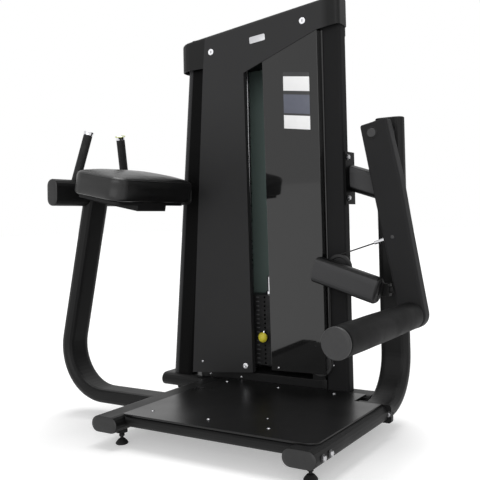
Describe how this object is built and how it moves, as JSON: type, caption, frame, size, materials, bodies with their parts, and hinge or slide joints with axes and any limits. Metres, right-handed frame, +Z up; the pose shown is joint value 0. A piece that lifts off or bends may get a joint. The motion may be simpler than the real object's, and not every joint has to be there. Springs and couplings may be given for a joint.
{
  "type": "glute machine",
  "caption": "Selectorised glute machine: weight-stack tower, swinging leg arm with roller, standing platform and an elbow pad with grips on a bent column.",
  "frame": {"origin": "middle of the machine's footprint, on the floor", "axes": "+Z up, +X from the elbow pad towards the swinging arm, -Y towards the side the user stands on"},
  "size_m": [1.3594, 0.758, 1.527],
  "materials": {
    "black_coat": "satin black powder coat",
    "grey_coat": "satin dark grey powder coat",
    "smoked_panel": "glossy smoked panel",
    "chrome": "polished",
    "cast_iron": "painted",
    "rubber": "matt",
    "leather": "grained",
    "knob_yellow": "moulded",
    "pulley_nylon": "moulded",
    "bright_steel": "zinc plated"
  },
  "bodies": {
    "base": {"left_rail": "black_coat", "right_rail": "black_coat", "front_beam": "black_coat", "platform_plate": "black_coat", "cross_tube": "black_coat", "foot_front_left": "rubber", "foot_front_right": "rubber", "foot_rear_left": "rubber", "foot_rear_right": "rubber", "left_upright": "black_coat", "right_upright": "black_coat", "top_crossbar": "black_coat", "header_cover": "grey_coat", "right_panel": "smoked_panel", "rear_cover": "grey_coat", "stack_base": "black_coat", "guide_rod_left": "chrome", "guide_rod_right": "chrome", "buffer_left": "rubber", "buffer_right": "rubber", "side_pulley_axle": "bright_steel", "low_pulley_bracket": "black_coat", "top_pulley_bracket": "black_coat", "cable_to_arm": "rubber", "cable_run": "rubber", "cable_to_stack": "rubber", "right_column": "black_coat", "link_plate": "black_coat", "upper_link": "black_coat", "stop_tube": "grey_coat", "stop_bracket": "black_coat", "stop_bumper": "rubber", "pivot_hub": "black_coat", "left_column": "black_coat", "elbow_beam": "black_coat", "left_link": "black_coat", "elbow_pad": "leather", "pad_bracket": "black_coat", "handle_near": "rubber", "handle_far": "rubber", "weight_pair_1": "cast_iron", "weight_pair_2": "cast_iron", "weight_pair_3": "cast_iron"},
    "arm": {"swing_arm": "black_coat", "pivot_shaft": "bright_steel", "roller_axle": "bright_steel", "cable_fork": "chrome"},
    "roller": {"roller_foam": "leather", "roller_disc": "grey_coat"},
    "stack": {"weight_pair_4": "cast_iron", "weight_pair_5": "cast_iron", "weight_pair_6": "cast_iron", "weight_pair_7": "cast_iron", "weight_pair_8": "cast_iron", "selector_stem": "chrome"},
    "pin": {"selector_pin": "knob_yellow"},
    "side_pulley": {"side_pulley": "pulley_nylon"},
    "low_pulley": {"low_pulley": "pulley_nylon"},
    "top_pulley": {"top_pulley": "pulley_nylon"},
    "stack_pulley": {"stack_pulley": "pulley_nylon"}
  },
  "joints": [
    {"name": "arm_hinge", "type": "hinge", "parent": "base", "child": "arm", "pos_m": [0.5047, 0.209, 1.016], "axis": [0, -1, 0], "range_deg": [0, 60], "deforming": ["cable_to_arm"]},
    {"name": "roller_spin", "type": "hinge", "parent": "arm", "child": "roller", "pos_m": [0.6337, -0.367, 0.391], "axis": [0, 1, 0], "continuous": true},
    {"name": "stack_slide", "type": "slide", "parent": "base", "child": "stack", "axis": [0, 0, 1], "range_m": [0, 0.37], "deforming": ["cable_to_stack"]},
    {"name": "pin_slide", "type": "slide", "parent": "stack", "child": "pin", "axis": [0, -1, 0], "range_m": [0, 0.056]},
    {"name": "side_pulley_spin", "type": "hinge", "parent": "base", "child": "side_pulley", "pos_m": [0.3627, 0.2215, 0.547], "axis": [0, 1, 0], "range_deg": [0, 500]},
    {"name": "low_pulley_spin", "type": "hinge", "parent": "base", "child": "low_pulley", "pos_m": [0.2783, 0.2215, 0.2], "axis": [0, -1, 0], "range_deg": [0, 500]},
    {"name": "top_pulley_spin", "type": "hinge", "parent": "base", "child": "top_pulley", "pos_m": [0.1939, 0.301, 1.236], "axis": [0, 1, 0], "range_deg": [0, 500]},
    {"name": "stack_pulley_spin", "type": "hinge", "parent": "base", "child": "stack_pulley", "pos_m": [0.0599, 0.301, 1.236], "axis": [0, 1, 0], "range_deg": [0, 500]}
  ],
  "couplings": [
    {"joint": "stack_slide", "follows": "arm_hinge", "m_per_rad": 0.35},
    {"joint": "side_pulley_spin", "follows": "arm_hinge", "ratio": 8.2938},
    {"joint": "low_pulley_spin", "follows": "arm_hinge", "ratio": 8.2938},
    {"joint": "top_pulley_spin", "follows": "arm_hinge", "ratio": 8.2938},
    {"joint": "stack_pulley_spin", "follows": "arm_hinge", "ratio": 8.2938}
  ]
}
